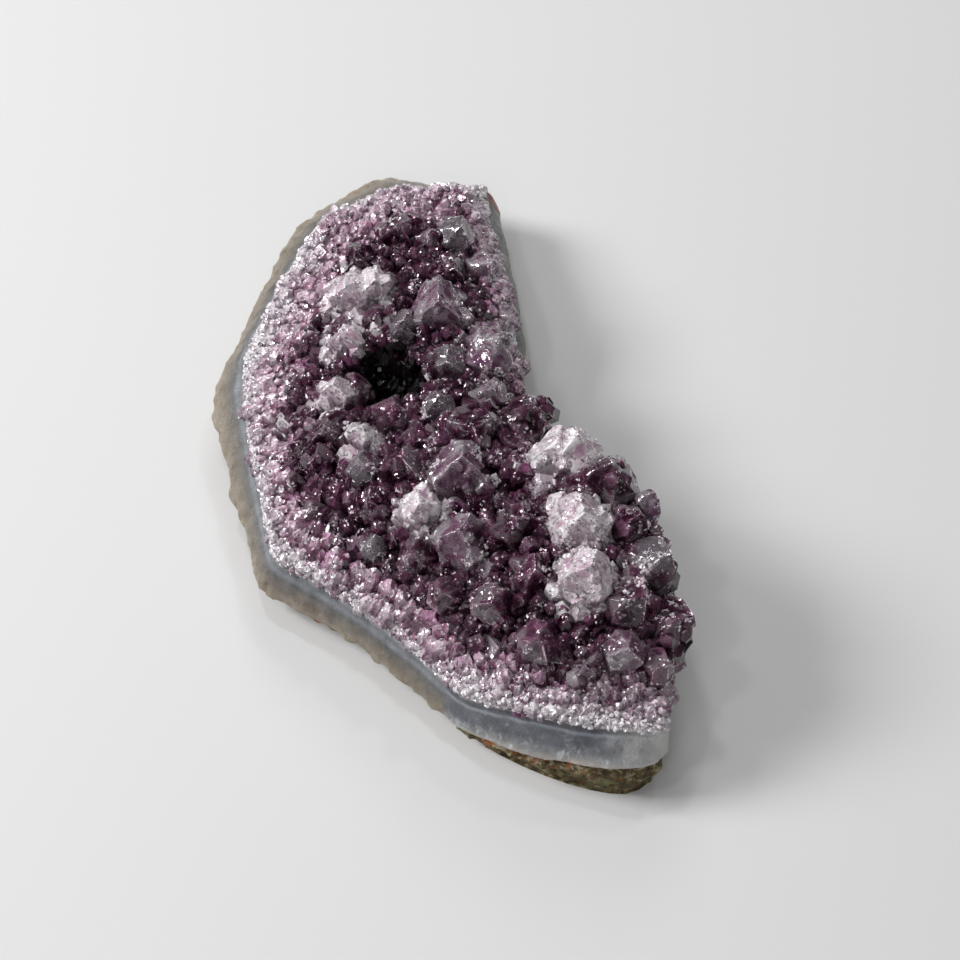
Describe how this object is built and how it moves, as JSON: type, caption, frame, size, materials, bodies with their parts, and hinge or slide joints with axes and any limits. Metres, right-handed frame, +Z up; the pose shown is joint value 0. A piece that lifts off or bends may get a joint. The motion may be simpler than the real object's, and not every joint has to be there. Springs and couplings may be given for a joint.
{
  "type": "amethyst cluster",
  "caption": "Kidney-shaped piece of an amethyst geode lying crystals up: basalt skin, polished agate rim, quartz druse and standing purple crystals.",
  "frame": {"origin": "bottom centre of the whole object's box, on the flat foot", "axes": "+Y along the length, from the broad end to the narrow end, +X across it towards the broken side, +Z up out of the druse"},
  "size_m": [0.0792, 0.124, 0.036],
  "materials": {
    "basalt": "rough, sawn flat underneath",
    "agate": "polished, tan and knobbly at the outer edge",
    "druse": "sparkling small crystal faces",
    "amethyst_deep": "natural crystal faces, glassy",
    "amethyst_pale": "natural crystal faces, glassy",
    "milky_quartz": "frosted natural crystal faces",
    "clear_quartz": "natural crystal faces, glassy"
  },
  "bodies": {
    "root": {"agate_rim": "agate", "crystal_clear_centre": "clear_quartz", "crystal_clear_north": "clear_quartz", "crystal_clear_west": "clear_quartz", "crystal_dark_dome": "amethyst_deep", "crystal_dark_north": "amethyst_deep", "crystal_dark_ridge": "amethyst_deep", "crystal_dark_west": "amethyst_deep", "crystal_deep_edge": "amethyst_deep", "crystal_frost_west": "milky_quartz", "crystal_glass_edge": "clear_quartz", "crystal_glassy_point": "clear_quartz", "crystal_great_point": "amethyst_pale", "crystal_grey_frost": "milky_quartz", "crystal_lilac_point": "amethyst_pale", "crystal_lying_prism": "amethyst_deep", "crystal_mid_south_point": "amethyst_deep", "crystal_mid_west_point": "amethyst_deep", "crystal_milky_pillar": "milky_quartz", "crystal_milky_ridge": "milky_quartz", "crystal_milky_slab": "milky_quartz", "crystal_milky_step": "milky_quartz", "crystal_north_crown": "amethyst_deep", "crystal_north_slope": "amethyst_deep", "crystal_north_west_crown": "amethyst_deep", "crystal_pale_edge": "amethyst_pale", "crystal_pale_north_east": "amethyst_pale", "crystal_pink_point": "amethyst_pale", "crystal_plum_column": "amethyst_deep", "crystal_purple_block": "amethyst_deep", "crystal_round_south": "amethyst_pale", "crystal_silky_splinter": "amethyst_pale", "crystal_slope_point": "amethyst_pale", "crystal_small_frost": "clear_quartz", "crystal_smoky_point": "clear_quartz", "crystal_south_column": "amethyst_deep", "crystal_south_point": "amethyst_deep", "crystal_south_sparkle": "amethyst_deep", "crystal_south_west_low": "amethyst_deep", "crystal_south_west_point": "amethyst_deep", "crystal_streaked_point": "amethyst_deep", "crystal_summit": "amethyst_deep", "crystal_upright_point": "amethyst_deep", "crystal_violet_point": "amethyst_pale", "crystal_vug_guard": "amethyst_deep", "crystal_west_dome": "amethyst_pale", "crystal_west_facing": "amethyst_deep", "crystal_west_low_point": "amethyst_pale", "crystal_west_point": "amethyst_pale", "crystal_white_column": "milky_quartz", "crystal_white_ridge": "milky_quartz", "host_rock": "basalt", "quartz_bed": "druse"}
  },
  "joints": []
}
